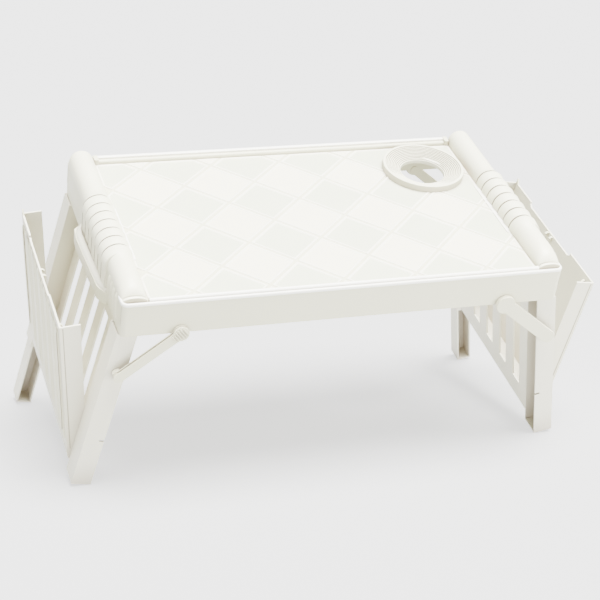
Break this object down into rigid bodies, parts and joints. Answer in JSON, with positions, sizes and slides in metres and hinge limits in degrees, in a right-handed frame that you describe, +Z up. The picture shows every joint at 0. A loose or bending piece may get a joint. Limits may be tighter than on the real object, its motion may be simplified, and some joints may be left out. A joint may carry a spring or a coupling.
{
  "type": "folding bed tray table",
  "caption": "White plastic bed tray with end handles, a stepped cup ring, folding ladder legs, hinged magazine racks and pull-out back feet.",
  "frame": {"origin": "centre of the bounding box's bottom face, on the floor, in the standing pose", "axes": "+X along the tray's length to the end with the cup ring, -Y to the user, +Z up"},
  "size_m": [0.6968, 0.4176, 0.3752],
  "materials": {
    "ivory_plastic": "satin moulded plastic",
    "steel": "plain pins"
  },
  "bodies": {
    "tray": {"tray_shell": "ivory_plastic", "underside_grid": "ivory_plastic", "cup_ring": "ivory_plastic", "handle_left": "ivory_plastic", "handle_right": "ivory_plastic", "leg_pin_front_left": "steel", "brace_pin_front_left": "steel", "leg_pin_back_left": "steel", "brace_pin_back_left": "steel", "leg_pin_front_right": "steel", "brace_pin_front_right": "steel", "leg_pin_back_right": "steel", "brace_pin_back_right": "steel"},
    "leg_left": {"leg_post_front_left": "ivory_plastic", "leg_post_back_left": "ivory_plastic", "leg_ladder_left": "ivory_plastic", "rack_pin_front_left": "steel", "rack_pin_back_left": "steel"},
    "foot_left": {"extension_foot_left": "ivory_plastic"},
    "rack_left": {"magazine_rack_left": "ivory_plastic"},
    "brace_front_left": {"brace_front_left": "ivory_plastic"},
    "brace_back_left": {"brace_back_left": "ivory_plastic"},
    "leg_right": {"leg_post_front_right": "ivory_plastic", "leg_post_back_right": "ivory_plastic", "leg_ladder_right": "ivory_plastic", "rack_pin_front_right": "steel", "rack_pin_back_right": "steel"},
    "foot_right": {"extension_foot_right": "ivory_plastic"},
    "rack_right": {"magazine_rack_right": "ivory_plastic"},
    "brace_front_right": {"brace_front_right": "ivory_plastic"},
    "brace_back_right": {"brace_back_right": "ivory_plastic"}
  },
  "joints": [
    {"name": "leg_fold_left", "type": "hinge", "parent": "tray", "child": "leg_left", "pos_m": [-0.26698, -0.0443, 0.28236], "axis": [0, 0.9481, 0.3178], "range_deg": [-101.2, 0]},
    {"name": "brace_swing_front_left", "type": "hinge", "parent": "tray", "child": "brace_front_left", "pos_m": [-0.21298, -0.19439, 0.21412], "axis": [0, 0.9481, 0.3178], "range_deg": [-134, 0]},
    {"name": "brace_swing_back_left", "type": "hinge", "parent": "tray", "child": "brace_back_left", "pos_m": [-0.21298, 0.1166, 0.31837], "axis": [0, 0.9481, 0.3178], "range_deg": [-134, 0]},
    {"name": "foot_slide_left", "type": "slide", "parent": "leg_left", "child": "foot_left", "axis": [-0.1942, 0.3118, -0.9301], "range_m": [-0.097, 0]},
    {"name": "rack_swing_left", "type": "hinge", "parent": "leg_left", "child": "rack_left", "pos_m": [-0.3227, 0.02633, 0.07168], "axis": [0, 0.9481, 0.3178], "range_deg": [0, 16.3]},
    {"name": "leg_fold_right", "type": "hinge", "parent": "tray", "child": "leg_right", "pos_m": [0.25702, -0.0443, 0.28236], "axis": [0, 0.9481, 0.3178], "range_deg": [0, 101.2]},
    {"name": "brace_swing_front_right", "type": "hinge", "parent": "tray", "child": "brace_front_right", "pos_m": [0.20302, -0.19439, 0.21412], "axis": [0, 0.9481, 0.3178], "range_deg": [0, 134]},
    {"name": "brace_swing_back_right", "type": "hinge", "parent": "tray", "child": "brace_back_right", "pos_m": [0.20302, 0.1166, 0.31837], "axis": [0, 0.9481, 0.3178], "range_deg": [0, 134]},
    {"name": "foot_slide_right", "type": "slide", "parent": "leg_right", "child": "foot_right", "axis": [0.1942, 0.3118, -0.9301], "range_m": [-0.097, 0]},
    {"name": "rack_swing_right", "type": "hinge", "parent": "leg_right", "child": "rack_right", "pos_m": [0.31274, 0.02633, 0.07168], "axis": [0, 0.9481, 0.3178], "range_deg": [-19.2, 0]}
  ],
  "couplings": [
    {"joint": "brace_swing_front_left", "follows": "leg_fold_left", "ratio": 1.32},
    {"joint": "brace_swing_back_left", "follows": "leg_fold_left", "ratio": 1.32},
    {"joint": "brace_swing_front_right", "follows": "leg_fold_right", "ratio": 1.32},
    {"joint": "brace_swing_back_right", "follows": "leg_fold_right", "ratio": 1.32}
  ]
}
